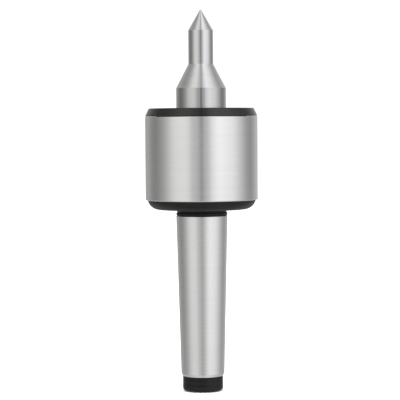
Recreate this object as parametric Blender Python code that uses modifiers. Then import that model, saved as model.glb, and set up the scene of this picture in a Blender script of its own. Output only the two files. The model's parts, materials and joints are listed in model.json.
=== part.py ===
"""A live center for a lathe tailstock, with a No. 3 Morse taper shank and a long stepped point.

The axis of rotation is Z, the point is up, and the origin is the centre of the taper's gauge plane.
The body is one piece: a hollow housing at the top and the tapered shank below it. Inside, the spindle
turns on a deep groove ball bearing at the front, a thrust ball bearing in the middle and a drawn cup
needle bearing at the back. A screwed front cap holds the front bearing's outer ring and a lip seal.

Sizes below are in millimetres; everything that reaches Blender is multiplied by MM.
"""

import math

import bmesh
import bpy
from mathutils import Matrix, Vector

MM = 0.001

# Gaps that keep neighbouring meshes apart.
FIT = 0.1  # pieces that are pressed or seated together
SEAT = 0.15  # faces that rest on each other, and the widest ring's seat
FACETS = 48  # sides of the body, the cap and the spindle
BEARING_FACETS = 40  # sides of the seal and of the rings inside
RACEWAY = 0.2  # how far a raceway's arc stands off its balls

# No. 3 Morse taper shank.
GAUGE_D = 23.825
TAPER_RATE = 1 / 19.922
TAPER_TOP_Z = 5.0
TAPER_END_Z = -70.1
TAPER_CHAMFER = 1.2
SHANK_END_D = 18.9
SHANK_END_Z = -77.2
SHANK_END_CHAMFER = 1.0
CENTRE_HOLE_D = 8.4
CENTRE_DRILL_D = 3.2

# Housing, which is the upper half of the body.
HOUSING_D = 52.6
HOUSING_BASE_Z = 12.4
HOUSING_TOP_Z = 51.6
REAR_D = 51.0
REAR_ROUND = 5.6
REAR_Z = 8.1
NECK_D = 23.2
NECK_FILLET = 1.3
COLLAR_D = 24.0  # a low collar between the neck and the taper
COLLAR_TOP_Z = 6.7
COLLAR_CHAMFER = 0.2
DRILL_D = 13.0  # the hole below the needle bearing
DRILL_BOTTOM_Z = 7.7

# Front cap and its seal.
CAP_TOP_Z = 55.5
CAP_BASE_D = 52.5
CAP_TOP_D = 49.2
CAP_EDGE_ROUND = 0.6
CAP_BORE_D = 24.1
CAP_THREAD_D = 44.0
CAP_THREAD_RELIEF_D = 42.0
SPANNER_HOLES = 4
SPANNER_HOLE_D = 4.0
SPANNER_HOLE_DEPTH = 2.2
SPANNER_CIRCLE_D = 39.0
SEAL_D = 35.0
SEAL_TOP_Z = 52.7
SEAL_HEIGHT = 5.2
O_RING_THICKNESS = 1.0

# Spindle, whose nose is the long stepped point.
NOSE_D = 23.3
NOSE_SHOULDER_Z = 64.8
STEM_D = 11.6
STEM_BASE_Z = 76.1
POINT_BASE_Z = 91.8
POINT_ANGLE = 60.0
POINT_TIP_ROUND = 0.25

# Front deep groove ball bearing, 20 x 42 x 12.
FRONT_BORE, FRONT_D, FRONT_WIDTH = 20.0, 42.0, 12.0
FRONT_TOP_Z = 46.3
FRONT_PITCH_D = 31.0
FRONT_BALL_D = 6.35
FRONT_BALLS = 9

# Thrust ball bearing, 17 x 30 x 9.
THRUST_BORE, THRUST_D, THRUST_HEIGHT = 17.0, 30.0, 9.0
THRUST_BASE_Z = 23.0
THRUST_WASHER = 2.95
THRUST_PITCH_D = 23.5
THRUST_BALL_D = 4.763
THRUST_BALLS = 12

# Rear needle bearing, 12 x 18 x 12.
NEEDLE_BORE, NEEDLE_CUP_D, NEEDLE_WIDTH = 12.0, 18.0, 12.0
NEEDLE_BASE_Z = 10.4
NEEDLE_D = 2.0
NEEDLE_LENGTH = 7.8
NEEDLES = 14

# Retaining ring on the spindle, under the front bearing's inner ring.
CLIP_THICKNESS = 1.1
CLIP_GROOVE_D = 18.8
CLIP_TOP_Z = FRONT_TOP_Z - FRONT_WIDTH - SEAT


def clear_scene():
    for thing in list(bpy.data.objects):
        bpy.data.objects.remove(thing)


def new_collection(name):
    made = bpy.data.collections.new(name)
    bpy.context.scene.collection.children.link(made)
    return made


def new_material(name, colour, roughness, metallic):
    made = bpy.data.materials.new(name)
    made.use_nodes = True
    shader = made.node_tree.nodes["Principled BSDF"]
    shader.inputs["Base Color"].default_value = (*colour, 1)
    shader.inputs["Roughness"].default_value = roughness
    shader.inputs["Metallic"].default_value = metallic
    made.diffuse_color = (*colour, 1)
    return made


def arc(centre_r, centre_z, radius, start, end, steps):
    """Points on a circle in the profile plane. Angles are in degrees, 0 outwards and 90 upwards."""
    turns = [math.radians(start + (end - start) * i / steps) for i in range(steps + 1)]
    return [(centre_r + radius * math.cos(t), centre_z + radius * math.sin(t)) for t in turns]


def link(thing, parts, material, parent):
    parts.objects.link(thing)
    thing.data.materials.clear()
    thing.data.materials.append(material)
    thing.parent = parent
    return thing


def sharpen(mesh):
    """Shades a round mesh smooth, with its turned edges kept sharp."""
    mesh.shade_smooth()
    mesh.set_sharp_from_angle(angle=math.radians(30))


def turned(name, profile, material, parts, parent, facets=FACETS):
    """A turned piece, from (radius, height) points that run down its outer side.

    The profile is closed, unless it starts and ends on the axis.
    """
    on_axis = profile[0][0] == 0 and profile[-1][0] == 0
    count = len(profile)
    edges = [(i, (i + 1) % count) for i in range(count - 1 if on_axis else count)]
    outline = bpy.data.meshes.new(name + "_profile")
    outline.from_pydata([(r * MM, 0, z * MM) for r, z in profile], edges, [])
    made = bpy.data.objects.new(name, outline)
    bpy.context.scene.collection.objects.link(made)
    screw = made.modifiers.new("Turn", "SCREW")
    screw.axis = "Z"
    screw.angle = math.tau
    screw.steps = facets
    screw.render_steps = facets
    screw.use_merge_vertices = True
    screw.merge_threshold = 0.000001
    bpy.context.view_layer.update()
    graph = bpy.context.evaluated_depsgraph_get()
    mesh = bpy.data.meshes.new_from_object(made.evaluated_get(graph))
    sharpen(mesh)
    mesh.name = name
    made.modifiers.clear()
    made.data = mesh
    bpy.data.meshes.remove(outline)
    bpy.context.scene.collection.objects.unlink(made)
    return link(made, parts, material, parent)


def cut(thing, cutter, cutters):
    """Takes the cutter's shape out of thing and leaves the cutter as a hidden guide."""
    cutters.objects.link(cutter)
    cutter.hide_render = True
    cutter.display_type = "WIRE"
    hollow = thing.modifiers.new("Cut " + cutter.name, "BOOLEAN")
    hollow.operation = "DIFFERENCE"
    hollow.solver = "EXACT"
    hollow.object = cutter


def ring_of_cylinders(name, count, radius, length, places, facets):
    """One mesh of separate cylinders. places gives each one's matrix from its turn about the axis."""
    mesh = bpy.data.meshes.new(name)
    shape = bmesh.new()
    for i in range(count):
        bmesh.ops.create_cone(
            shape, cap_ends=True, segments=facets, radius1=radius * MM, radius2=radius * MM,
            depth=length * MM, matrix=places(math.tau * i / count),
        )
    shape.to_mesh(mesh)
    shape.free()
    return bpy.data.objects.new(name, mesh)


def axle(name, height, parts, parent=None):
    """An empty on the axis of rotation, for the pieces that turn together."""
    made = bpy.data.objects.new(name, None)
    made.empty_display_size = 0.01
    made.location = (0, 0, height * MM)
    made.parent = parent
    parts.objects.link(made)
    return made


# ---------------------------------------------------------------- body


def taper_radius(z):
    return (GAUGE_D + z * TAPER_RATE) / 2


def cavity_profile():
    """Up the inside of the housing, from the bottom of the drilled hole to the mouth."""
    drill_r = DRILL_D / 2
    needle_r = NEEDLE_CUP_D / 2 + FIT
    needle_floor = NEEDLE_BASE_Z - SEAT
    thrust_r = THRUST_D / 2 + 0.5
    thrust_floor = THRUST_BASE_Z - SEAT
    relief_r = 18.2
    relief_z = THRUST_BASE_Z + THRUST_HEIGHT + 0.2
    shoulder_z = FRONT_TOP_Z - FRONT_WIDTH - SEAT
    front_r = FRONT_D / 2 + SEAT
    thread_r = CAP_THREAD_D / 2
    return [
        (0, DRILL_BOTTOM_Z - drill_r / math.tan(math.radians(59))),
        (drill_r, DRILL_BOTTOM_Z),
        (drill_r, needle_floor),
        (needle_r, needle_floor),
        (needle_r, thrust_floor - 0.4),
        (needle_r + 0.4, thrust_floor),
        (thrust_r, thrust_floor),
        (thrust_r, relief_z),
        (relief_r, relief_z),
        (relief_r, shoulder_z),
        (front_r, shoulder_z),
        (front_r, FRONT_TOP_Z - 0.4),
        (thread_r, FRONT_TOP_Z),
        (thread_r, HOUSING_TOP_Z - 1.4),
        (thread_r + 1.4, HOUSING_TOP_Z),
    ]


def housing_profile():
    """Down the outside of the housing, round its back edge and in to the neck."""
    outer = HOUSING_D / 2
    round_r = REAR_D / 2 - REAR_ROUND
    round_z = REAR_Z + REAR_ROUND
    start = -math.degrees(math.asin((round_z - HOUSING_BASE_Z) / REAR_ROUND))
    neck = NECK_D / 2
    collar = COLLAR_D / 2
    return [
        (outer - 0.4, HOUSING_TOP_Z),
        (outer, HOUSING_TOP_Z - 0.4),
        (outer, HOUSING_BASE_Z + 0.25),
        (outer - 0.25, HOUSING_BASE_Z),
        *arc(round_r, round_z, REAR_ROUND, start, -90, 5),
        *arc(neck + NECK_FILLET, REAR_Z - NECK_FILLET, NECK_FILLET, 90, 180, 3),
        (neck, COLLAR_TOP_Z),
        (collar, COLLAR_TOP_Z - COLLAR_CHAMFER),
        (collar, TAPER_TOP_Z + 0.4),
        (collar - 0.25, TAPER_TOP_Z + 0.2),
    ]


def shank_profile():
    """Down the taper to the plain end, and up into the centre hole."""
    taper_end = taper_radius(TAPER_END_Z)
    end = SHANK_END_D / 2
    mouth = CENTRE_HOLE_D / 2
    drill = CENTRE_DRILL_D / 2
    cone_top = SHANK_END_Z + (mouth - drill) / math.tan(math.radians(30))
    drill_top = cone_top + 3
    return [
        (taper_radius(TAPER_TOP_Z), TAPER_TOP_Z),
        (taper_radius(TAPER_END_Z + TAPER_CHAMFER), TAPER_END_Z + TAPER_CHAMFER),
        (taper_end - 0.6, TAPER_END_Z),
        (end, TAPER_END_Z),
        (end, SHANK_END_Z + SHANK_END_CHAMFER),
        (end - SHANK_END_CHAMFER, SHANK_END_Z),
        (mouth, SHANK_END_Z),
        (drill, cone_top),
        (drill, drill_top),
        (0, drill_top + drill / math.tan(math.radians(59))),
    ]


def make_body(look, parts):
    profile = cavity_profile() + housing_profile() + shank_profile()
    return turned("body", profile, look["ground_steel"], parts, None)


# ---------------------------------------------------------------- front cap and seals


def make_front_cap(look, parts, cutters):
    base_z = HOUSING_TOP_Z + SEAT
    base = CAP_BASE_D / 2
    top = CAP_TOP_D / 2
    relief = CAP_THREAD_RELIEF_D / 2
    thread = CAP_THREAD_D / 2 - SEAT
    foot_z = FRONT_TOP_Z + SEAT
    pocket = SEAL_D / 2 + FIT
    pocket_z = SEAL_TOP_Z + FIT
    bore = CAP_BORE_D / 2
    slant = math.degrees(math.atan2(CAP_TOP_Z - base_z, base - top))
    profile = [
        *arc(top - CAP_EDGE_ROUND, CAP_TOP_Z - CAP_EDGE_ROUND, CAP_EDGE_ROUND, 90, 90 - slant, 3),
        (base, base_z + 0.3),
        (base, base_z),
        (relief, base_z),
        (relief, HOUSING_TOP_Z - 1.6),
        (thread, HOUSING_TOP_Z - 2.4),
        (thread, foot_z + 0.6),
        (thread - 0.6, foot_z),
        (pocket, foot_z),
        (pocket, pocket_z),
        (bore, pocket_z),
        (bore, CAP_TOP_Z - 0.4),
        (bore + 0.4, CAP_TOP_Z),
    ]
    cap = turned("front_cap", profile, look["black_oxide"], parts, None)

    def place(turn):
        z = (CAP_TOP_Z - SPANNER_HOLE_DEPTH / 2 + 0.5) * MM
        at = Vector((SPANNER_CIRCLE_D / 2 * MM, 0, z))
        return Matrix.Rotation(turn + math.radians(45), 4, "Z") @ Matrix.Translation(at)

    holes = ring_of_cylinders(
        "spanner_hole_cutter", SPANNER_HOLES, SPANNER_HOLE_D / 2, SPANNER_HOLE_DEPTH + 1, place, 16
    )
    cut(cap, holes, cutters)
    return cap


def make_nose_seal(look, parts):
    """A rubber lip seal. It is U-shaped in section, open towards the bearing."""
    outer = SEAL_D / 2
    bottom = SEAL_TOP_Z - SEAL_HEIGHT
    lip = NOSE_D / 2 + SEAT
    profile = [
        (outer - 0.4, SEAL_TOP_Z),
        (outer, SEAL_TOP_Z - 0.4),
        (outer, bottom + 0.5),
        (outer - 0.5, bottom),
        (outer - 2.0, bottom),
        (outer - 2.0, SEAL_TOP_Z - 1.4),
        (lip + 1.9, SEAL_TOP_Z - 1.4),
        (lip + 1.1, bottom + 2.2),
        (lip + 1.3, bottom + 0.6),
        (lip + 0.7, bottom + 0.3),
        (lip, bottom + 1.3),
        (lip + 0.7, SEAL_TOP_Z - 1.6),
        (lip + 0.7, SEAL_TOP_Z),
    ]
    return turned("nose_seal", profile, look["rubber"], parts, None, BEARING_FACETS)


def make_torus(name, major_d, minor_d, z, material, parts, minor_facets):
    bpy.ops.mesh.primitive_torus_add(
        major_segments=BEARING_FACETS, minor_segments=minor_facets,
        major_radius=major_d / 2 * MM, minor_radius=minor_d / 2 * MM, location=(0, 0, z * MM),
    )
    made = bpy.context.object
    made.name = name
    for home in list(made.users_collection):
        home.objects.unlink(made)
    made.data.shade_smooth()
    return link(made, parts, material, None)


# ---------------------------------------------------------------- spindle


def make_spindle(look, parts, parent):
    stem = STEM_D / 2
    nose = NOSE_D / 2
    half = math.radians(POINT_ANGLE / 2)
    tip_z = POINT_BASE_Z + stem / math.tan(half)
    tip = POINT_TIP_ROUND
    tip_centre = tip_z - tip / math.sin(half)
    shoulder = FRONT_TOP_Z + SEAT
    front_seat = FRONT_BORE / 2 - FIT
    groove = CLIP_GROOVE_D / 2
    groove_top = CLIP_TOP_Z + FIT
    groove_bottom = CLIP_TOP_Z - CLIP_THICKNESS - FIT
    thrust_shoulder = THRUST_BASE_Z + THRUST_HEIGHT + SEAT
    thrust_seat = THRUST_BORE / 2 - FIT
    journal = NEEDLE_BORE / 2 - FIT
    journal_top = THRUST_BASE_Z + 0.3
    tail_z = NEEDLE_BASE_Z - 1.1
    profile = [
        (0, tip_centre + tip),
        *arc(0, tip_centre, tip, 70, 30, 2),
        (stem, POINT_BASE_Z),
        (stem, STEM_BASE_Z),
        (nose, NOSE_SHOULDER_Z),
        (nose, shoulder + 0.5),
        (nose - 0.5, shoulder),
        (front_seat, shoulder),
        (front_seat, groove_top),
        (groove, groove_top),
        (groove, groove_bottom),
        (front_seat, groove_bottom),
        (front_seat, thrust_shoulder),
        (thrust_seat, thrust_shoulder),
        (thrust_seat, journal_top + 0.8),
        (thrust_seat - 0.8, journal_top),
        (journal, journal_top),
        (journal, tail_z + 0.8),
        (journal - 0.8, tail_z),
        (2.0, tail_z),
        (0.8, tail_z + 2.1),
        (0, tail_z + 2.6),
    ]
    return turned("spindle", profile, look["ground_steel"], parts, parent)


def make_retaining_ring(look, parts, parent):
    """An open spring ring whose ends widen into lugs with plier holes."""
    inner = CLIP_GROOVE_D / 2 + FIT
    lug_r = 12.9
    lug_turn = math.radians(13)
    gap_turn = math.radians(14)
    steps = 30

    def outer_radius(turn):
        ends = min(turn - gap_turn, math.tau - gap_turn - turn)
        back = 0.5 - 0.5 * math.cos(turn)
        return lug_r if ends < lug_turn else 11.2 + 0.9 * back

    turns = [gap_turn + (math.tau - 2 * gap_turn) * i / steps for i in range(steps + 1)]
    first_body = gap_turn + lug_turn
    outer_turns = sorted([*turns, first_body - 0.001, math.tau - first_body + 0.001])
    outside = [(outer_radius(t), t) for t in outer_turns]
    inside = [(inner, t) for t in reversed(turns)]
    flat = bpy.data.curves.new("retaining_ring", "CURVE")
    flat.dimensions = "2D"
    flat.fill_mode = "BOTH"
    flat.extrude = CLIP_THICKNESS / 2 * MM
    rim = [(r * math.cos(t) * MM, r * math.sin(t) * MM) for r, t in outside + inside]
    add_loop(flat, rim)
    hole_r = (inner + lug_r) / 2 + 0.2
    for side in (1, -1):
        turn = side * (gap_turn + lug_turn / 2)
        x, y = hole_r * math.cos(turn), hole_r * math.sin(turn)
        hole = [
            ((x + 0.9 * math.cos(math.tau * i / 10)) * MM, (y + 0.9 * math.sin(math.tau * i / 10)) * MM)
            for i in range(10)
        ]
        add_loop(flat, hole)
    made = bpy.data.objects.new("retaining_ring", flat)
    made.location = (0, 0, (CLIP_TOP_Z - CLIP_THICKNESS / 2) * MM)
    return link(made, parts, look["spring_steel"], parent)


def add_loop(curve, points):
    loop = curve.splines.new("POLY")
    loop.points.add(len(points) - 1)
    for point, (x, y) in zip(loop.points, points):
        point.co = (x, y, 0, 1)
    loop.use_cyclic_u = True


# ---------------------------------------------------------------- bearings


def make_balls(prefix, count, pitch_d, ball_d, material, parts, parent):
    """A row of balls about the axis, each its own object on one shared mesh."""
    mesh = bpy.data.meshes.new(prefix + "_mesh")
    shape = bmesh.new()
    bmesh.ops.create_icosphere(shape, subdivisions=2, radius=ball_d / 2 * MM)
    shape.to_mesh(mesh)
    shape.free()
    mesh.shade_smooth()
    mesh.materials.append(material)
    for i in range(count):
        turn = math.tau * i / count
        ball = bpy.data.objects.new(f"{prefix}_{i + 1:02d}", mesh)
        ball.location = (pitch_d / 2 * math.cos(turn) * MM, pitch_d / 2 * math.sin(turn) * MM, 0)
        ball.rotation_euler = (0, 0, turn)
        ball.parent = parent
        parts.objects.link(ball)


def make_front_bearing(look, parts, cutters, spindle_axle, cage_axle):
    """The rings' raceways are arcs a little larger than the balls."""
    middle = FRONT_TOP_Z - FRONT_WIDTH / 2
    half = FRONT_WIDTH / 2 - 0.05
    pitch = FRONT_PITCH_D / 2
    groove = FRONT_BALL_D / 2 + RACEWAY
    outer, bore, edge = FRONT_D / 2, FRONT_BORE / 2, 0.6
    outer_land, inner_land = 17.6, 13.4
    dip = math.degrees(math.acos((outer_land - pitch) / groove))
    rise = math.degrees(math.acos((pitch - inner_land) / groove))
    outer_ring = [
        (outer - edge, half),
        (outer, half - edge),
        (outer, edge - half),
        (outer - edge, -half),
        (outer_land, -half),
        *arc(pitch, 0, groove, -dip, dip, 4),
        (outer_land, half),
    ]
    inner_ring = [
        (inner_land, half),
        *arc(pitch, 0, groove, 180 - rise, 180 + rise, 4),
        (inner_land, -half),
        (bore + edge, -half),
        (bore, edge - half),
        (bore, half - edge),
        (bore + edge, half),
    ]
    steel = look["bearing_steel"]
    still = axle("front_bearing_axis", middle, parts)
    turned("front_bearing_outer_ring", outer_ring, steel, parts, still, BEARING_FACETS)
    lift = middle - spindle_axle.location.z / MM
    raised = [(r, z + lift) for r, z in inner_ring]
    turned("front_bearing_inner_ring", raised, steel, parts, spindle_axle, BEARING_FACETS)

    cage = [(16.8, 3.9), (16.8, -3.9), (14.2, -3.9), (14.2, 3.9)]
    retainer = turned("front_bearing_cage", cage, look["brass"], parts, cage_axle, FRONT_BALLS * 4)

    def place(turn):
        lean = Matrix.Rotation(math.pi / 2, 4, "Y")
        at = Matrix.Translation((pitch * MM, 0, 0))
        centre = Matrix.Translation((0, 0, middle * MM))
        return centre @ Matrix.Rotation(turn, 4, "Z") @ at @ lean

    pockets = ring_of_cylinders("front_pocket_cutter", FRONT_BALLS, FRONT_BALL_D / 2 + 0.2, 4, place, 12)
    cut(retainer, pockets, cutters)
    make_balls("front_ball", FRONT_BALLS, FRONT_PITCH_D, FRONT_BALL_D, steel, parts, cage_axle)

    thin = 0.35
    gap = 0.12
    for name, z in (("front_bearing_upper_shield", half - 0.5), ("front_bearing_lower_shield", 0.5 - half + thin)):
        disc = [
            (outer_land - gap, z),
            (outer_land - gap, z - thin),
            (inner_land + gap + 0.1, z - thin),
            (inner_land + gap + 0.1, z),
        ]
        turned(name, disc, look["spring_steel"], parts, still, BEARING_FACETS)


def make_thrust_bearing(look, parts, cutters, spindle_axle, cage_axle):
    middle = THRUST_BASE_Z + THRUST_HEIGHT / 2
    half = THRUST_HEIGHT / 2
    pitch = THRUST_PITCH_D / 2
    groove = THRUST_BALL_D / 2 + RACEWAY
    outer, edge = THRUST_D / 2, 0.5
    face = half - THRUST_WASHER
    sweep = math.degrees(math.acos(face / groove))
    steel = look["bearing_steel"]

    def washer(bore, side):
        """A grooved washer. side is 1 for the upper one, whose groove faces down."""
        raceway = arc(pitch, 0, groove, side * (90 - sweep), side * (90 + sweep), 4)
        ring = [
            (outer - edge, side * half),
            (outer, side * (half - edge)),
            (outer, side * face),
            *raceway,
            (bore, side * face),
            (bore, side * (half - edge)),
            (bore + edge, side * half),
        ]
        return ring if side > 0 else ring[::-1]

    lift = middle - spindle_axle.location.z / MM
    upper = [(r, z + lift) for r, z in washer(THRUST_BORE / 2, 1)]
    turned("thrust_shaft_washer", upper, steel, parts, spindle_axle, BEARING_FACETS)
    still = axle("thrust_bearing_axis", middle, parts)
    turned("thrust_housing_washer", washer(THRUST_BORE / 2 + 0.6, -1), steel, parts, still, BEARING_FACETS)

    cage = [(14.8, 0.8), (14.8, -0.8), (8.8, -0.8), (8.8, 0.8)]
    retainer = turned("thrust_bearing_cage", cage, look["brass"], parts, cage_axle, THRUST_BALLS * 3)

    def place(turn):
        centre = Matrix.Translation((0, 0, middle * MM))
        return centre @ Matrix.Rotation(turn, 4, "Z") @ Matrix.Translation((pitch * MM, 0, 0))

    pockets = ring_of_cylinders("thrust_pocket_cutter", THRUST_BALLS, THRUST_BALL_D / 2 + 0.15, 4, place, 12)
    cut(retainer, pockets, cutters)
    make_balls("thrust_ball", THRUST_BALLS, THRUST_PITCH_D, THRUST_BALL_D, steel, parts, cage_axle)


def make_needle_bearing(look, parts, cutters, cage_axle):
    middle = NEEDLE_BASE_Z + NEEDLE_WIDTH / 2
    half = NEEDLE_WIDTH / 2
    wall = 0.9
    outer = NEEDLE_CUP_D / 2
    lip = NEEDLE_BORE / 2 + 0.3
    pitch = (NEEDLE_BORE + NEEDLE_D) / 2
    cup = [
        (outer - 0.5, half),
        (outer, half - 0.5),
        (outer, 0.5 - half),
        (outer - 0.5, -half),
        (lip, -half),
        (lip, wall - half),
        (outer - wall, wall - half),
        (outer - wall, half - wall),
        (lip, half - wall),
        (lip, half),
    ]
    still = axle("needle_bearing_axis", middle, parts)
    turned("needle_cup", cup, look["bearing_steel"], parts, still, BEARING_FACETS)

    cage_half = half - wall - 0.2
    cage = [(7.7, cage_half), (7.7, -cage_half), (6.35, -cage_half), (6.35, cage_half)]
    retainer = turned("needle_cage", cage, look["spring_steel"], parts, cage_axle, NEEDLES * 2)

    windows = bpy.data.meshes.new("needle_window_cutter")
    shape = bmesh.new()
    window = Matrix.Diagonal((4 * MM, (NEEDLE_D + 0.3) * MM, (NEEDLE_LENGTH + 0.2) * MM, 1))
    for i in range(NEEDLES):
        turn = Matrix.Rotation(math.tau * i / NEEDLES, 4, "Z")
        at = Matrix.Translation((pitch * MM, 0, middle * MM))
        bmesh.ops.create_cube(shape, size=1, matrix=turn @ at @ window)
    shape.to_mesh(windows)
    shape.free()
    cut(retainer, bpy.data.objects.new("needle_window_cutter", windows), cutters)

    needle_mesh = bpy.data.meshes.new("needle_mesh")
    shape = bmesh.new()
    radius = (NEEDLE_D / 2 - 0.05) * MM
    bmesh.ops.create_cone(
        shape, cap_ends=True, segments=10, radius1=radius, radius2=radius, depth=NEEDLE_LENGTH * MM
    )
    shape.to_mesh(needle_mesh)
    shape.free()
    sharpen(needle_mesh)
    needle_mesh.materials.append(look["bearing_steel"])
    for i in range(NEEDLES):
        turn = math.tau * i / NEEDLES
        needle = bpy.data.objects.new(f"needle_{i + 1:02d}", needle_mesh)
        needle.location = (pitch * math.cos(turn) * MM, pitch * math.sin(turn) * MM, 0)
        needle.rotation_euler = (0, 0, turn)
        needle.parent = cage_axle
        parts.objects.link(needle)


# ---------------------------------------------------------------- assembly


def main():
    clear_scene()
    parts = new_collection("live_center")
    cutters = new_collection("cutters")
    look = {
        "ground_steel": new_material("ground_steel", (0.62, 0.62, 0.62), 0.32, 1.0),
        "black_oxide": new_material("black_oxide", (0.022, 0.023, 0.025), 0.42, 0.6),
        "bearing_steel": new_material("bearing_steel", (0.7, 0.7, 0.71), 0.12, 1.0),
        "spring_steel": new_material("spring_steel", (0.32, 0.32, 0.34), 0.35, 1.0),
        "brass": new_material("brass", (0.72, 0.52, 0.22), 0.3, 1.0),
        "rubber": new_material("rubber", (0.02, 0.02, 0.02), 0.7, 0.0),
    }
    make_body(look, parts)
    make_front_cap(look, parts, cutters)
    make_nose_seal(look, parts)
    garter_z = SEAL_TOP_Z - SEAL_HEIGHT + 1.5
    make_torus("seal_garter_spring", NOSE_D + 4.2, 1.1, garter_z, look["spring_steel"], parts, 5)
    o_ring_z = HOUSING_TOP_Z - 0.6
    make_torus("cap_o_ring", CAP_THREAD_D - 0.3, O_RING_THICKNESS, o_ring_z, look["rubber"], parts, 6)

    spindle_axle = axle("spindle_axis", 0, parts)
    make_spindle(look, parts, spindle_axle)
    make_retaining_ring(look, parts, spindle_axle)
    front_cage = axle("front_cage_axis", FRONT_TOP_Z - FRONT_WIDTH / 2, parts)
    make_front_bearing(look, parts, cutters, spindle_axle, front_cage)
    thrust_cage = axle("thrust_cage_axis", THRUST_BASE_Z + THRUST_HEIGHT / 2, parts)
    make_thrust_bearing(look, parts, cutters, spindle_axle, thrust_cage)
    needle_cage = axle("needle_cage_axis", NEEDLE_BASE_Z + NEEDLE_WIDTH / 2, parts)
    make_needle_bearing(look, parts, cutters, needle_cage)


main()
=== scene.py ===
"""A live center standing on its shank in a white studio.

Everything turned that shows is rebuilt here finer than the CAD, from profiles about the Z axis. Their
sizes are in millimetres. Other lengths, from the finishes' grain to the camera's place, are in metres.
The finishes are procedural, and the steel takes its bands from the strips of studio light round it.
"""

import json
import math

import bmesh
import bpy
from mathutils import Matrix, Vector


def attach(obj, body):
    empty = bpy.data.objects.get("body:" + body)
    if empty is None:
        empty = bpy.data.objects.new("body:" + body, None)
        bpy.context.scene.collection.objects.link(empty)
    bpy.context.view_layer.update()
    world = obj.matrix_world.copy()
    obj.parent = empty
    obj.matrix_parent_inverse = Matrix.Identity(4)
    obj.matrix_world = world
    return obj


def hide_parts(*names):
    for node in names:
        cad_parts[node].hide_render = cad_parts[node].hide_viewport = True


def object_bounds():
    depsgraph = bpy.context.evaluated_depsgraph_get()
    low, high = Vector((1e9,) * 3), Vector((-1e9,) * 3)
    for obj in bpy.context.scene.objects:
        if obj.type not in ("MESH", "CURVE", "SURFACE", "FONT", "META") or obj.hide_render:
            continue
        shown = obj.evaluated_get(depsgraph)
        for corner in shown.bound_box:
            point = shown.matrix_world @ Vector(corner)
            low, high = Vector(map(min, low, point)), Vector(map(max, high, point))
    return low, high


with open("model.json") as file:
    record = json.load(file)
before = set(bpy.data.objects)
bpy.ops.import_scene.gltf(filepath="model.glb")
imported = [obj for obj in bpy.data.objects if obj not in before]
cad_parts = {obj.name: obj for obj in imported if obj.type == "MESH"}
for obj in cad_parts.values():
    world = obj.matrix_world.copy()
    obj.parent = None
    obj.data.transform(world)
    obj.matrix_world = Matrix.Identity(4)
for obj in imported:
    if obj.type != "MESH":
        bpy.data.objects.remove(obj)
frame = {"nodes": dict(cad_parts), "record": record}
cad_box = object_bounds()

MM = 0.001
SIDES = 192  # round the axis
HOLE_SIDES = 48  # round a spanner hole
ROUND_STEPS = 6  # along an edge's round
SHARP_ANGLE = 25  # degrees between two faces that meet in a sharp edge
BESIDE = 0.04  # from the end of a long edge to the extra ring there

# Shank: a No. 3 Morse taper with a plain end and a centre hole.
TAPER_TOP_R = 12.035
TAPER_TOP_Z = 5.0
TAPER_END_R = 10.18
TAPER_END_Z = -70.1
SHANK_END_R = 9.45
SHANK_END_Z = -77.2
CENTRE_HOLE_R = 4.2
CENTRE_DRILL_R = 1.6

# Housing, which is the upper half of the body, and the neck and collar between it and the taper.
HOUSING_R = 26.3
HOUSING_TOP_Z = 51.6
HOUSING_BASE_Z = 12.55
REAR_R = 25.5
REAR_Z = 8.1
REAR_ROUND = 5.6
REAR_START = -11.9  # degrees round from the side, where the round starts at the housing's base
NECK_R = 11.6
COLLAR_R = 12.0
COLLAR_TOP_Z = 6.7

# Inside the body: the drilled hole, the seats of the three bearings and the thread for the cap.
DRILL_R = 6.5
DRILL_BOTTOM_Z = 7.7
NEEDLE_BORE_R = 9.1
NEEDLE_FLOOR_Z = 10.25
THRUST_BORE_R = 15.5
THRUST_FLOOR_Z = 22.85
THRUST_BORE_TOP_Z = 32.2
RELIEF_R = 18.2
FRONT_BORE_R = 21.15
FRONT_FLOOR_Z = 34.15
FRONT_TOP_Z = 46.3
THREAD_R = 22.0

# Front cap.
CAP_TOP_R = 24.6
CAP_TOP_Z = 55.5
CAP_BASE_R = 26.25
CAP_BASE_Z = 51.75
CAP_FOOT_Z = 46.45
CAP_RELIEF_R = 21.0
CAP_THREAD_R = 21.85
CAP_POCKET_R = 17.6
CAP_POCKET_Z = 52.8
CAP_BORE_R = 12.05
SPANNER_HOLES = 4
SPANNER_HOLE_R = 2.0
SPANNER_HOLE_DEPTH = 2.2
SPANNER_CIRCLE_R = 19.5

# Spindle, whose nose is the long stepped point.
POINT_TOP_Z = 101.6
POINT_ROUND = 0.25
POINT_BASE_Z = 91.8
STEM_R = 5.8
STEM_BASE_Z = 76.1
NOSE_R = 11.65
NOSE_SHOULDER_Z = 64.8
NOSE_BASE_Z = 46.45
FRONT_SEAT_R = 9.9
CLIP_GROOVE_R = 9.4
CLIP_GROOVE_TOP_Z = 34.25
CLIP_GROOVE_BASE_Z = 32.95
THRUST_SHOULDER_Z = 32.15
THRUST_SEAT_R = 8.4
JOURNAL_R = 5.9
JOURNAL_TOP_Z = 23.3
TAIL_Z = 9.3

# Camera: level with the top of the housing, far off, and rolled a little so that the object leans.
# The lens is in millimetres and the angles are in degrees.
CAMERA_DISTANCE = 0.8674
CAMERA_HEIGHT = 0.0485
CAMERA_OFFSET = -0.00084
CAMERA_LENS = 166.5
CAMERA_PITCH = 2.38
CAMERA_ROLL = -0.41

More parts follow.
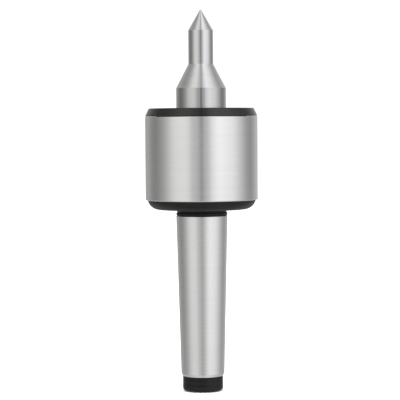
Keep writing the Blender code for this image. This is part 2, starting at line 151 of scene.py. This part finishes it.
# Studio light as the steel sees it: (degrees round from the camera, brightness), to the camera's right and
# to its left.
RIGHT_STRIPS = [
    (0, 0.30), (3, 0.42), (7, 0.72), (13, 0.74), (17, 1.02), (26, 1.37), (38, 1.57), (52, 1.44), (68, 1.31),
    (84, 0.92), (104, 0.50), (120, 0.37), (136, 0.54), (152, 0.66), (180, 0.46),
]
LEFT_STRIPS = [
    (2, 0.34), (5, 0.62), (16, 0.76), (21, 0.82), (25, 1.08), (36, 1.20), (50, 1.16), (62, 1.03),
    (74, 0.70), (86, 0.47), (104, 0.29), (118, 0.31), (140, 0.50), (160, 0.46),
]
RIGHT_TINT = (0.985, 0.985, 1.0)
LEFT_TINT = (1.0, 1.0, 0.985)
# Above and below, the strips fade into even light: (z of the direction where the fade starts, z where it
# ends, brightness of the even light, its share at the end).
LOW_FADE = (-0.05, -0.22, 0.6, 0.6)
HIGH_FADE = (0.0, 0.7, 1.6, 0.18)
FLOOR_FADE = (-0.25, -0.8, 1.1, 0.3)
# The colour ramp holds brightnesses divided by this, so that its stops stay below 1, and the background
# multiplies them back.
STRIP_STRENGTH = 2.0
SOFT_STRENGTH = 1.3  # what matt surfaces see of the studio
WHITE_STRENGTH = 1.1  # what the camera sees of it

FLOOR_REACH = 6  # from the axis to each side of the floor
FLOOR_GAP = 0.0001  # from the shank's end down to the floor

# Zones of a turned piece. Each is a material slot of its mesh.
BRIGHT, SATIN, OXIDE, RUBBED, BORED = range(5)


# ---------------------------------------------------------------- profiles


def rounded(corners):
    """Turns (radius, height, round, zone) corners into points with zones.

    A point's zone is that of the edge that leaves it. A corner's round is the radius of its edge break,
    which takes the corner's zone.
    """
    points = []
    for i, (r, z, size, zone) in enumerate(corners):
        here = Vector((r, z))
        if not size:
            points.append((r, z, zone))
            continue
        back = (Vector(corners[i - 1][:2]) - here).normalized()
        ahead = (Vector(corners[(i + 1) % len(corners)][:2]) - here).normalized()
        half = back.angle(ahead) / 2
        centre = here + (back + ahead).normalized() * size / math.sin(half)
        first = here + back * size / math.tan(half) - centre
        last = here + ahead * size / math.tan(half) - centre
        start = math.atan2(first.y, first.x)
        sweep = math.remainder(math.atan2(last.y, last.x) - start, math.tau)
        for k in range(ROUND_STEPS + 1):
            turn = start + sweep * k / ROUND_STEPS
            points.append((centre.x + size * math.cos(turn), centre.y + size * math.sin(turn), zone))
    return points


def arc(centre_r, centre_z, radius, start, end, steps, zone):
    """Corners on a circle in the profile plane. Angles are in degrees, 0 outwards and 90 upwards."""
    turns = [math.radians(start + (end - start) * i / steps) for i in range(steps + 1)]
    return [(centre_r + radius * math.cos(t), centre_z + radius * math.sin(t), 0, zone) for t in turns]


def steadied(points):
    """Adds a point just inside each end of a long edge, so that a round doesn't bend the flat's shading."""
    steady = []
    for i, (r, z, zone) in enumerate(points):
        steady.append((r, z, zone))
        here = Vector((r, z))
        along = Vector(points[(i + 1) % len(points)][:2]) - here
        if r and r + along.x and along.length > 10 * BESIDE:
            for reach in (BESIDE, along.length - BESIDE):
                steady.append((*(here + along.normalized() * reach), zone))
    return steady


def turned(name, corners, finishes):
    """A finely turned piece. corners run down its outer side and back up its inner side."""
    points = steadied(rounded(corners))
    shape = bmesh.new()
    turns = [math.tau * k / SIDES for k in range(SIDES)]
    rings = []
    for r, z, _ in points:
        spots = [(r * math.cos(t) * MM, r * math.sin(t) * MM, z * MM) for t in turns]
        rings.append([shape.verts.new(spot) for spot in (spots if r > 0 else spots[:1])])
    for i, upper in enumerate(rings):
        lower = rings[(i + 1) % len(rings)]
        if len(upper) == len(lower) == 1:
            continue
        for k in range(SIDES):
            after = (k + 1) % SIDES
            if len(upper) == 1:
                rim = (upper[0], lower[k], lower[after])
            elif len(lower) == 1:
                rim = (upper[k], lower[0], upper[after])
            else:
                rim = (upper[k], lower[k], lower[after], upper[after])
            shape.faces.new(rim).material_index = points[i][2]
    mesh = bpy.data.meshes.new(name)
    shape.to_mesh(mesh)
    shape.free()
    made = bpy.data.objects.new(name, mesh)
    bpy.context.scene.collection.objects.link(made)
    for finish in finishes:
        mesh.materials.append(finish)
    smooth(mesh)
    return made


def smooth(mesh):
    """Shades it smooth, apart from its sharp edges."""
    mesh.shade_smooth()
    mesh.set_sharp_from_angle(angle=math.radians(SHARP_ANGLE))


def carve(piece, cutter):
    """Takes the cutter out of the piece for good, and removes the cutter."""
    hollow = piece.modifiers.new("Carve", "BOOLEAN")
    hollow.operation = "DIFFERENCE"
    hollow.solver = "EXACT"
    hollow.object = cutter
    bpy.context.view_layer.update()
    graph = bpy.context.evaluated_depsgraph_get()
    piece.data = bpy.data.meshes.new_from_object(piece.evaluated_get(graph))
    piece.modifiers.clear()
    smooth(piece.data)
    bpy.data.objects.remove(cutter)


# ---------------------------------------------------------------- turned pieces


def housing_profile():
    """Down the outside of the housing, round its back edge and along the neck to the taper's groove."""
    return [
        (HOUSING_R - 1.2, HOUSING_TOP_Z, 0, BRIGHT),
        (HOUSING_R, HOUSING_TOP_Z, 0.35, BRIGHT),
        (HOUSING_R, HOUSING_BASE_Z, 0.45, BRIGHT),
        *arc(REAR_R - REAR_ROUND, REAR_Z + REAR_ROUND, REAR_ROUND, REAR_START, -90, 16, OXIDE),
        (NECK_R, REAR_Z, 1.2, OXIDE),
        (NECK_R, COLLAR_TOP_Z, 0.1, OXIDE),
        (COLLAR_R, COLLAR_TOP_Z - 0.2, 0.1, OXIDE),
        (COLLAR_R, TAPER_TOP_Z + 0.7, 0, OXIDE),
        (COLLAR_R - 0.3, TAPER_TOP_Z + 0.35, 0, SATIN),
    ]


def shank_profile():
    """Down the taper to the plain end, and up into the centre hole."""
    return [
        (TAPER_TOP_R, TAPER_TOP_Z, 0.08, SATIN),
        (TAPER_END_R, TAPER_END_Z + 1.2, 0.3, SATIN),
        (SHANK_END_R + 0.2, TAPER_END_Z, 0.1, SATIN),
        (SHANK_END_R, TAPER_END_Z - 0.05, 0, OXIDE),
        (SHANK_END_R, SHANK_END_Z, 1.5, OXIDE),
        (CENTRE_HOLE_R + 0.4, SHANK_END_Z, 0.1, RUBBED),
        (CENTRE_HOLE_R, SHANK_END_Z + 0.5, 0.1, RUBBED),
        (CENTRE_DRILL_R, SHANK_END_Z + 5.1, 0, RUBBED),
        (CENTRE_DRILL_R, SHANK_END_Z + 7.6, 0, OXIDE),
        (0, SHANK_END_Z + 8.6, 0, OXIDE),
    ]


def cavity_profile():
    """Up the inside of the housing, from the bottom of the drilled hole to the mouth."""
    return [
        (0, DRILL_BOTTOM_Z - 3.9, 0, BORED),
        (DRILL_R, DRILL_BOTTOM_Z, 0, BORED),
        (DRILL_R, NEEDLE_FLOOR_Z, 0.1, BORED),
        (NEEDLE_BORE_R, NEEDLE_FLOOR_Z, 0, BORED),
        (NEEDLE_BORE_R, THRUST_FLOOR_Z - 0.4, 0, BORED),
        (NEEDLE_BORE_R + 0.4, THRUST_FLOOR_Z, 0, BORED),
        (THRUST_BORE_R, THRUST_FLOOR_Z, 0, BORED),
        (THRUST_BORE_R, THRUST_BORE_TOP_Z, 0.1, BORED),
        (RELIEF_R, THRUST_BORE_TOP_Z, 0, BORED),
        (RELIEF_R, FRONT_FLOOR_Z, 0.1, BORED),
        (FRONT_BORE_R, FRONT_FLOOR_Z, 0, BORED),
        (FRONT_BORE_R, FRONT_TOP_Z - 0.4, 0, BORED),
        (THREAD_R, FRONT_TOP_Z, 0, BORED),
        (THREAD_R, HOUSING_TOP_Z - 1.4, 0, BORED),
        (THREAD_R + 1.4, HOUSING_TOP_Z, 0, BORED),
    ]


def make_body(finishes):
    """Housing and shank in one piece, ground bright on the housing's outside and on the taper only."""
    profile = housing_profile() + shank_profile() + cavity_profile()
    body = turned("body_turned", profile, finishes)
    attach(body, "housing")
    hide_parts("body")


def make_front_cap(finishes):
    """The blackened ring that screws into the housing's mouth, with four spanner holes in its face."""
    profile = [
        (CAP_TOP_R, CAP_TOP_Z, 0.6, OXIDE),
        (CAP_BASE_R, CAP_BASE_Z + 0.25, 0.1, OXIDE),
        (CAP_BASE_R, CAP_BASE_Z, 0.05, OXIDE),
        (CAP_RELIEF_R, CAP_BASE_Z, 0.1, BORED),
        (CAP_RELIEF_R, HOUSING_TOP_Z - 1.6, 0.1, BORED),
        (CAP_THREAD_R, HOUSING_TOP_Z - 2.4, 0, BORED),
        (CAP_THREAD_R, CAP_FOOT_Z + 0.6, 0, BORED),
        (CAP_THREAD_R - 0.6, CAP_FOOT_Z, 0, BORED),
        (CAP_POCKET_R, CAP_FOOT_Z, 0.2, BORED),
        (CAP_POCKET_R, CAP_POCKET_Z, 0.2, BORED),
        (CAP_BORE_R, CAP_POCKET_Z, 0.1, BORED),
        (CAP_BORE_R, CAP_TOP_Z - 0.4, 0, RUBBED),
        (CAP_BORE_R + 0.4, CAP_TOP_Z, 0, OXIDE),
    ]
    cap = turned("front_cap_turned", profile, finishes)
    carve(cap, spanner_holes())
    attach(cap, "housing")
    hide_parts("front_cap")


def spanner_holes():
    """Blind holes with drill-point bottoms and mouths rubbed by the spanner's pins, as one cutter."""
    floor_z = CAP_TOP_Z - SPANNER_HOLE_DEPTH
    mouth_r = SPANNER_HOLE_R + 0.3
    drill = [
        (0, floor_z - 0.3, OXIDE),
        (SPANNER_HOLE_R, floor_z, OXIDE),
        (SPANNER_HOLE_R, CAP_TOP_Z - 0.2, RUBBED),
        (mouth_r, CAP_TOP_Z + 0.1, OXIDE),
        (mouth_r, CAP_TOP_Z + 1, OXIDE),
        (0, CAP_TOP_Z + 1, OXIDE),
    ]
    shape = bmesh.new()
    for i in range(SPANNER_HOLES):
        across = math.tau * (i + 0.5) / SPANNER_HOLES
        centre = Vector((math.cos(across), math.sin(across), 0)) * SPANNER_CIRCLE_R
        rings = []
        for r, z, _ in drill:
            around = [math.tau * k / HOLE_SIDES for k in range(HOLE_SIDES if r else 1)]
            spots = [(centre + Vector((r * math.cos(t), r * math.sin(t), z))) * MM for t in around]
            rings.append([shape.verts.new(spot) for spot in spots])
        for lower, upper, (_, _, zone) in zip(rings, rings[1:], drill):
            for k in range(HOLE_SIDES):
                rim = [lower[k % len(lower)], lower[(k + 1) % len(lower)]]
                rim += [upper[(k + 1) % len(upper)], upper[k % len(upper)]]
                shape.faces.new(list(dict.fromkeys(rim))).material_index = zone
    mesh = bpy.data.meshes.new("spanner_holes")
    shape.to_mesh(mesh)
    shape.free()
    holes = bpy.data.objects.new("spanner_holes", mesh)
    bpy.context.scene.collection.objects.link(holes)
    return holes


def make_spindle(finishes):
    """The point, ground bright, and down its shaft the bearing seats and the retaining ring's groove."""
    profile = [
        (0, POINT_TOP_Z, 0, BRIGHT),
        *arc(0, POINT_TOP_Z - POINT_ROUND, POINT_ROUND, 75, 30, 4, BRIGHT),
        (STEM_R, POINT_BASE_Z, 0.12, BRIGHT),
        (STEM_R, STEM_BASE_Z, 0.25, BRIGHT),
        (NOSE_R, NOSE_SHOULDER_Z, 0.2, SATIN),
        (NOSE_R, NOSE_BASE_Z + 0.5, 0, BRIGHT),
        (NOSE_R - 0.5, NOSE_BASE_Z, 0, BORED),
        (FRONT_SEAT_R, NOSE_BASE_Z, 0, BRIGHT),
        (FRONT_SEAT_R, CLIP_GROOVE_TOP_Z, 0, BORED),
        (CLIP_GROOVE_R, CLIP_GROOVE_TOP_Z, 0, BORED),
        (CLIP_GROOVE_R, CLIP_GROOVE_BASE_Z, 0, BORED),
        (FRONT_SEAT_R, CLIP_GROOVE_BASE_Z, 0, BRIGHT),
        (FRONT_SEAT_R, THRUST_SHOULDER_Z, 0, BORED),
        (THRUST_SEAT_R, THRUST_SHOULDER_Z, 0, BRIGHT),
        (THRUST_SEAT_R, JOURNAL_TOP_Z + 0.8, 0.1, BORED),
        (THRUST_SEAT_R - 0.8, JOURNAL_TOP_Z, 0, BORED),
        (JOURNAL_R, JOURNAL_TOP_Z, 0, BRIGHT),
        (JOURNAL_R, TAIL_Z + 0.8, 0.1, BORED),
        (JOURNAL_R - 0.8, TAIL_Z, 0.1, BORED),
        (2.0, TAIL_Z, 0, BORED),
        (0.8, TAIL_Z + 2.1, 0, BORED),
        (0, TAIL_Z + 2.6, 0, BORED),
    ]
    spindle = turned("spindle_turned", profile, finishes)
    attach(spindle, "spindle")
    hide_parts("spindle")


# ---------------------------------------------------------------- finishes


def new_finish(name, **constants):
    """A material, its node tree and its Principled shader, with the sockets given set."""
    made = bpy.data.materials.new(name)
    made.use_nodes = True
    shader = made.node_tree.nodes["Principled BSDF"]
    for socket, value in constants.items():
        shader.inputs[socket.replace("_", " ")].default_value = value
    return made, made.node_tree, shader


def add(tree, kind, **settings):
    """A node with settings: attributes by name, and sockets by number as in_0, in_1."""
    node = tree.nodes.new(kind)
    for key, value in settings.items():
        if key.startswith("in_"):
            node.inputs[int(key[3:])].default_value = value
        else:
            setattr(node, key, value)
    return node


def turning_marks(tree, spacing, around=60.0, detail=4.0):
    """Noise drawn out into rings about the Z axis, spacing metres apart, on cylinders, cones and flats.

    The rings count along Z and, a little slower, along the radius. They change slowly round the piece,
    faster the higher around is.
    """
    along_radius = 0.7
    place = add(tree, "ShaderNodeTexCoord")
    split = add(tree, "ShaderNodeSeparateXYZ")
    flat = add(tree, "ShaderNodeVectorMath", operation="MULTIPLY", in_1=(1, 1, 0))
    radius = add(tree, "ShaderNodeVectorMath", operation="LENGTH")
    run = add(tree, "ShaderNodeMath", operation="MULTIPLY_ADD", in_1=along_radius)
    fine = add(tree, "ShaderNodeMath", operation="DIVIDE", in_1=spacing)
    slow = add(tree, "ShaderNodeVectorMath", operation="SCALE")
    slow.inputs["Scale"].default_value = around
    split_slow = add(tree, "ShaderNodeSeparateXYZ")
    joined = add(tree, "ShaderNodeCombineXYZ")
    noise = add(tree, "ShaderNodeTexNoise")
    noise.inputs["Scale"].default_value = 1.0
    noise.inputs["Detail"].default_value = detail
    noise.inputs["Roughness"].default_value = 0.65
    link = tree.links.new
    link(place.outputs["Object"], split.inputs[0])
    link(place.outputs["Object"], flat.inputs[0])
    link(flat.outputs[0], radius.inputs[0])
    link(radius.outputs["Value"], run.inputs[0])
    link(split.outputs["Z"], run.inputs[2])
    link(run.outputs[0], fine.inputs[0])
    link(place.outputs["Object"], slow.inputs[0])
    link(slow.outputs[0], split_slow.inputs[0])
    link(split_slow.outputs["X"], joined.inputs["X"])
    link(split_slow.outputs["Y"], joined.inputs["Y"])
    link(fine.outputs[0], joined.inputs["Z"])
    link(joined.outputs[0], noise.inputs["Vector"])
    return noise.outputs[0]


def cloud(tree, size, detail=3.0):
    """Soft noise of the given size in metres, for handling marks and tone."""
    place = add(tree, "ShaderNodeTexCoord")
    noise = add(tree, "ShaderNodeTexNoise")
    noise.inputs["Scale"].default_value = 1 / size
    noise.inputs["Detail"].default_value = detail
    tree.links.new(place.outputs["Object"], noise.inputs["Vector"])
    return noise.outputs[0]


def spread(tree, value, low, high, start=0.3, end=0.7):
    """Stretches start to end, which is where nearly all of a noise lies, over low to high."""
    node = add(tree, "ShaderNodeMapRange", in_1=start, in_2=end, in_3=low, in_4=high)
    tree.links.new(value, node.inputs[0])
    return node.outputs[0]


def mixed(tree, amount, first, second):
    """A colour between two colours."""
    node = add(tree, "ShaderNodeMix", data_type="RGBA")
    tree.links.new(amount, node.inputs[0])
    node.inputs[6].default_value = (*first, 1)
    node.inputs[7].default_value = (*second, 1)
    return node.outputs[2]


def total(tree, first, second):
    """The sum of two values."""
    node = add(tree, "ShaderNodeMath", operation="ADD")
    tree.links.new(first, node.inputs[0])
    tree.links.new(second, node.inputs[1])
    return node.outputs[0]


def relief(tree, shader, height, depth, strength):
    """Bump from a height value, depth metres deep."""
    node = add(tree, "ShaderNodeBump")
    node.inputs["Strength"].default_value = strength
    node.inputs["Distance"].default_value = depth
    tree.links.new(height, node.inputs["Height"])
    tree.links.new(node.outputs[0], shader.inputs["Normal"])


def machined(tree, shader):
    """Draws highlights out along the axis, as marks that run round the piece do."""
    tangent = add(tree, "ShaderNodeTangent", direction_type="RADIAL", axis="Z")
    tree.links.new(tangent.outputs[0], shader.inputs["Tangent"])
    shader.inputs["Anisotropic Rotation"].default_value = 0.25


def ground_steel(name, tone, roughness, stretch=0.8):
    """Cylindrically ground steel: fine rings of light and dark, a little uneven round the piece."""
    made, tree, shader = new_finish(name, Metallic=1.0, Anisotropic=stretch)
    machined(tree, shader)
    fine = turning_marks(tree, spacing=0.00016)
    broad = turning_marks(tree, spacing=0.0011, around=25.0, detail=2.0)
    marks = total(tree, spread(tree, fine, 0, 0.7), spread(tree, broad, 0, 0.3))
    dark, light = [(level, level, level) for level in (tone - 0.028, tone + 0.028)]
    tree.links.new(mixed(tree, marks, dark, light), shader.inputs["Base Color"])
    handled = spread(tree, cloud(tree, size=0.02), -0.01, 0.015)
    rough = total(tree, spread(tree, fine, roughness - 0.03, roughness + 0.03), handled)
    tree.links.new(rough, shader.inputs["Roughness"])
    relief(tree, shader, fine, depth=0.000004, strength=0.2)
    return made


def black_oxide(name, tone, roughness, shine):
    """Blackened turned steel: near black, satin, with turned rings and a faint brown and blue cast."""
    made, tree, shader = new_finish(name, Metallic=0.0, Anisotropic=0.4, Specular_IOR_Level=shine)
    machined(tree, shader)
    rings = turning_marks(tree, spacing=0.00035)
    broad = turning_marks(tree, spacing=0.0012, around=25.0, detail=2.0)
    cast = total(tree, spread(tree, broad, 0, 0.6), spread(tree, cloud(tree, size=0.012), 0, 0.4))
    blue = (0.2 * tone, 0.2 * tone, 0.3 * tone)
    brown = (1.85 * tone, 1.7 * tone, 1.7 * tone)
    tree.links.new(mixed(tree, cast, blue, brown), shader.inputs["Base Color"])
    tree.links.new(spread(tree, rings, roughness - 0.07, roughness + 0.07), shader.inputs["Roughness"])
    # A rougher black is coarser turned too.
    relief(tree, shader, rings, depth=0.00003, strength=roughness)
    return made


def rubbed_oxide():
    """Edges where the black has rubbed thin and the steel shows through."""
    made, tree, shader = new_finish("rubbed_oxide", Metallic=0.8)
    wear = spread(tree, cloud(tree, size=0.0015, detail=5.0), 0, 1, start=0.4, end=0.62)
    black, steel = (0.03, 0.03, 0.032), (0.22, 0.215, 0.21)
    tree.links.new(mixed(tree, wear, black, steel), shader.inputs["Base Color"])
    tree.links.new(spread(tree, wear, 0.45, 0.3, start=0, end=1), shader.inputs["Roughness"])
    relief(tree, shader, turning_marks(tree, spacing=0.0002), depth=0.00001, strength=0.4)
    return made


def bored_steel():
    """Bored and turned steel inside: coarser rings than the ground faces, and an oily tone."""
    made, tree, shader = new_finish("bored_steel", Metallic=1.0, Anisotropic=0.6)
    machined(tree, shader)
    rings = turning_marks(tree, spacing=0.0003, detail=2.0)
    dark, light = (0.36, 0.355, 0.35), (0.5, 0.495, 0.485)
    tree.links.new(mixed(tree, rings, dark, light), shader.inputs["Base Color"])
    tree.links.new(spread(tree, cloud(tree, size=0.01), 0.28, 0.42), shader.inputs["Roughness"])
    relief(tree, shader, rings, depth=0.00002, strength=0.5)
    return made


def bearing_steel():
    """Hardened and polished bearing steel, with very fine marks and a thin film of grease."""
    made, tree, shader = new_finish("bearing_steel", Metallic=1.0, Coat_Weight=0.3, Coat_Roughness=0.15)
    fine = turning_marks(tree, spacing=0.0001)
    grease = cloud(tree, size=0.006)
    dark, light = (0.62, 0.62, 0.63), (0.72, 0.72, 0.73)
    tree.links.new(mixed(tree, fine, dark, light), shader.inputs["Base Color"])
    tree.links.new(spread(tree, grease, 0.08, 0.2), shader.inputs["Roughness"])
    relief(tree, shader, fine, depth=0.000002, strength=0.3)
    return made


def spring_steel():
    """Blued spring steel, stamped and tempered."""
    made, tree, shader = new_finish("spring_steel", Metallic=1.0)
    heat = spread(tree, cloud(tree, size=0.009), 0, 1)
    blue, straw = (0.17, 0.18, 0.21), (0.27, 0.26, 0.25)
    tree.links.new(mixed(tree, heat, blue, straw), shader.inputs["Base Color"])
    tree.links.new(spread(tree, cloud(tree, size=0.0008), 0.3, 0.42), shader.inputs["Roughness"])
    relief(tree, shader, cloud(tree, size=0.0002), depth=0.00001, strength=0.3)
    return made


def brass():
    """Machined brass cages, with turning marks and a slight tarnish."""
    made, tree, shader = new_finish("brass", Metallic=1.0, Anisotropic=0.5)
    machined(tree, shader)
    rings = turning_marks(tree, spacing=0.00025)
    tarnish = total(tree, spread(tree, rings, 0, 0.5), spread(tree, cloud(tree, size=0.005), 0, 0.5))
    clean, dull = (0.78, 0.57, 0.25), (0.6, 0.41, 0.17)
    tree.links.new(mixed(tree, tarnish, clean, dull), shader.inputs["Base Color"])
    tree.links.new(spread(tree, tarnish, 0.24, 0.38, start=0, end=1), shader.inputs["Roughness"])
    relief(tree, shader, rings, depth=0.00001, strength=0.4)
    return made


def rubber():
    """Moulded nitrile rubber: dull black with a fine grain and a bloom."""
    made, tree, shader = new_finish("rubber", Metallic=0.0)
    bloom = spread(tree, cloud(tree, size=0.004), 0, 1)
    black, grey = (0.012, 0.012, 0.013), (0.026, 0.026, 0.026)
    tree.links.new(mixed(tree, bloom, black, grey), shader.inputs["Base Color"])
    tree.links.new(spread(tree, bloom, 0.55, 0.72, start=0, end=1), shader.inputs["Roughness"])
    relief(tree, shader, cloud(tree, size=0.00025), depth=0.00002, strength=0.4)
    return made


def finish_inner_pieces():
    """Gives each CAD node inside the finish of its slot in the record."""
    makers = {
        "bearing_steel": bearing_steel,
        "spring_steel": spring_steel,
        "brass": brass,
        "rubber": rubber,
    }
    finishes = {slot: maker() for slot, maker in makers.items()}
    for part in frame["record"]["subparts"]:
        finish = finishes.get(part["material_slot"])
        if finish:
            for material_slot in frame["nodes"][part["node"]].material_slots:
                material_slot.material = finish


# ---------------------------------------------------------------- studio


def make_floor():
    """A plain square of pale paper, just under the shank's end."""
    mesh = bpy.data.meshes.new("floor")
    z = cad_box[0].z - FLOOR_GAP
    corners = [(x * FLOOR_REACH, y * FLOOR_REACH, z) for x, y in ((-1, -1), (1, -1), (1, 1), (-1, 1))]
    mesh.from_pydata(corners, [], [(0, 1, 2, 3)])
    floor = bpy.data.objects.new("floor", mesh)
    bpy.context.scene.collection.objects.link(floor)
    made, tree, shader = new_finish("floor_paper", Roughness=0.9)
    tone = spread(tree, cloud(tree, size=0.3), 0, 1)
    tree.links.new(mixed(tree, tone, (0.9, 0.9, 0.9), (0.93, 0.93, 0.93)), shader.inputs["Base Color"])
    mesh.materials.append(made)
    # The steel reflects the studio's strips, which the floor would wash out.
    floor.visible_glossy = False


def make_world():
    """White for the camera, soft light for matt surfaces, and strips of light and dark for glossy ones."""
    world = bpy.data.worlds.new("studio")
    bpy.context.scene.world = world
    world.use_nodes = True
    world.cycles.sampling_method = "NONE"
    tree = world.node_tree
    tree.nodes.clear()
    strips = backdrop(tree, STRIP_STRENGTH)
    tree.links.new(strip_colour(tree), strips.inputs["Color"])
    white = backdrop(tree, WHITE_STRENGTH)
    soft = backdrop(tree, SOFT_STRENGTH)
    path = add(tree, "ShaderNodeLightPath")
    plain = chosen(tree, path.outputs["Is Camera Ray"], white, soft)
    whole = chosen(tree, path.outputs["Is Glossy Ray"], strips, plain)
    out = add(tree, "ShaderNodeOutputWorld")
    tree.links.new(whole.outputs[0], out.inputs["Surface"])


def backdrop(tree, strength):
    """A white background for the world."""
    node = add(tree, "ShaderNodeBackground")
    node.inputs["Color"].default_value = (1, 1, 1, 1)
    node.inputs["Strength"].default_value = strength
    return node


def chosen(tree, test, first, second):
    """The first background where the test is 1, and the second where it is 0."""
    node = add(tree, "ShaderNodeMixShader")
    tree.links.new(test, node.inputs[0])
    tree.links.new(second.outputs[0], node.inputs[1])
    tree.links.new(first.outputs[0], node.inputs[2])
    return node


def strip_colour(tree):
    """The strips' brightness by direction: round the object first, then faded above and below."""
    link = tree.links.new
    place = add(tree, "ShaderNodeTexCoord")
    split = add(tree, "ShaderNodeSeparateXYZ")
    towards = add(tree, "ShaderNodeMath", operation="MULTIPLY", in_1=-1.0)
    turn = add(tree, "ShaderNodeMath", operation="ARCTAN2")
    along = add(tree, "ShaderNodeMapRange", in_1=-math.pi, in_2=math.pi, in_3=0.0, in_4=1.0)
    link(place.outputs["Generated"], split.inputs[0])
    link(split.outputs["Y"], towards.inputs[0])
    link(split.outputs["X"], turn.inputs[0])
    link(towards.outputs[0], turn.inputs[1])
    link(turn.outputs[0], along.inputs[0])
    ramp = add(tree, "ShaderNodeValToRGB")
    fill_ramp(ramp.color_ramp)
    link(along.outputs[0], ramp.inputs[0])
    colour = ramp.outputs["Color"]
    for start, end, level, share in (LOW_FADE, HIGH_FADE, FLOOR_FADE):
        fade = add(tree, "ShaderNodeMapRange", in_1=start, in_2=end, in_3=0.0, in_4=share)
        fade.interpolation_type = "SMOOTHSTEP"
        link(split.outputs["Z"], fade.inputs[0])
        faded = add(tree, "ShaderNodeMix", data_type="RGBA")
        faded.inputs[7].default_value = (*[level / STRIP_STRENGTH] * 3, 1)
        link(fade.outputs[0], faded.inputs[0])
        link(colour, faded.inputs[6])
        colour = faded.outputs[2]
    return colour


def fill_ramp(ramp):
    """One stop for each strip: from behind the object by the left to the camera, and by the right back."""
    ramp.interpolation = "LINEAR"
    stops = [(-turn, level, LEFT_TINT) for turn, level in reversed(LEFT_STRIPS)]
    stops += [(turn, level, RIGHT_TINT) for turn, level in RIGHT_STRIPS]
    stops.insert(0, (-180, RIGHT_STRIPS[-1][1], RIGHT_TINT))
    while len(ramp.elements) < len(stops):
        ramp.elements.new(0.5)
    for element, (turn, level, tint) in zip(ramp.elements, stops):
        element.position = (turn + 180) / 360
        element.color = (*[level * part / STRIP_STRENGTH for part in tint], 1)


def make_lights():
    """A soft box on each side and a larger one overhead.

    Glossy surfaces don't mirror them: what the steel mirrors is the strips in the world.
    """
    for name, place, aim, size, power in (
        ("softbox_right", (1.1, -1.2, 0.6), (0, 0, 0.02), 1.0, 14),
        ("softbox_left", (-1.2, -1.1, 0.6), (0, 0, 0.02), 1.0, 9),
        ("softbox_top", (0, 0.2, 1.9), (0, 0, 0), 2.0, 30),
    ):
        light = bpy.data.lights.new(name, "AREA")
        light.size = size
        light.energy = power
        lamp = bpy.data.objects.new(name, light)
        lamp.location = place
        lamp.rotation_euler = (Vector(aim) - Vector(place)).to_track_quat("-Z", "Y").to_euler()
        lamp.visible_glossy = False
        lamp.visible_camera = False
        bpy.context.scene.collection.objects.link(lamp)


def make_camera():
    """In front of the object, looking a little down at it."""
    lens = bpy.data.cameras.new("camera")
    lens.lens = CAMERA_LENS
    lens.clip_start = 0.01
    lens.clip_end = 50
    camera = bpy.data.objects.new("camera", lens)
    level = Matrix.Rotation(math.radians(90 - CAMERA_PITCH), 4, "X")
    roll = Matrix.Rotation(math.radians(CAMERA_ROLL), 4, "Z")
    place = Matrix.Translation((CAMERA_OFFSET, -CAMERA_DISTANCE, CAMERA_HEIGHT))
    camera.matrix_world = place @ level @ roll
    bpy.context.scene.collection.objects.link(camera)
    bpy.context.scene.camera = camera


turned_oxide = black_oxide("turned_oxide", tone=0.0055, roughness=0.45, shine=0.16)
cap_oxide = black_oxide("cap_oxide", tone=0.001, roughness=0.11, shine=0.48)
edges = [rubbed_oxide(), bored_steel()]
housing_steel = ground_steel("housing_steel", tone=0.625, roughness=0.24)
taper_steel = ground_steel("taper_steel", tone=0.64, roughness=0.27, stretch=0.3)
point_steel = ground_steel("point_steel", tone=0.52, roughness=0.14)
nose_steel = ground_steel("nose_steel", tone=0.45, roughness=0.11)
make_body([housing_steel, taper_steel, turned_oxide, *edges])
make_front_cap([housing_steel, taper_steel, cap_oxide, *edges])
make_spindle([point_steel, nose_steel, turned_oxide, *edges])
finish_inner_pieces()
make_floor()
make_world()
make_lights()
make_camera()
bpy.context.scene.view_settings.view_transform = "Standard"
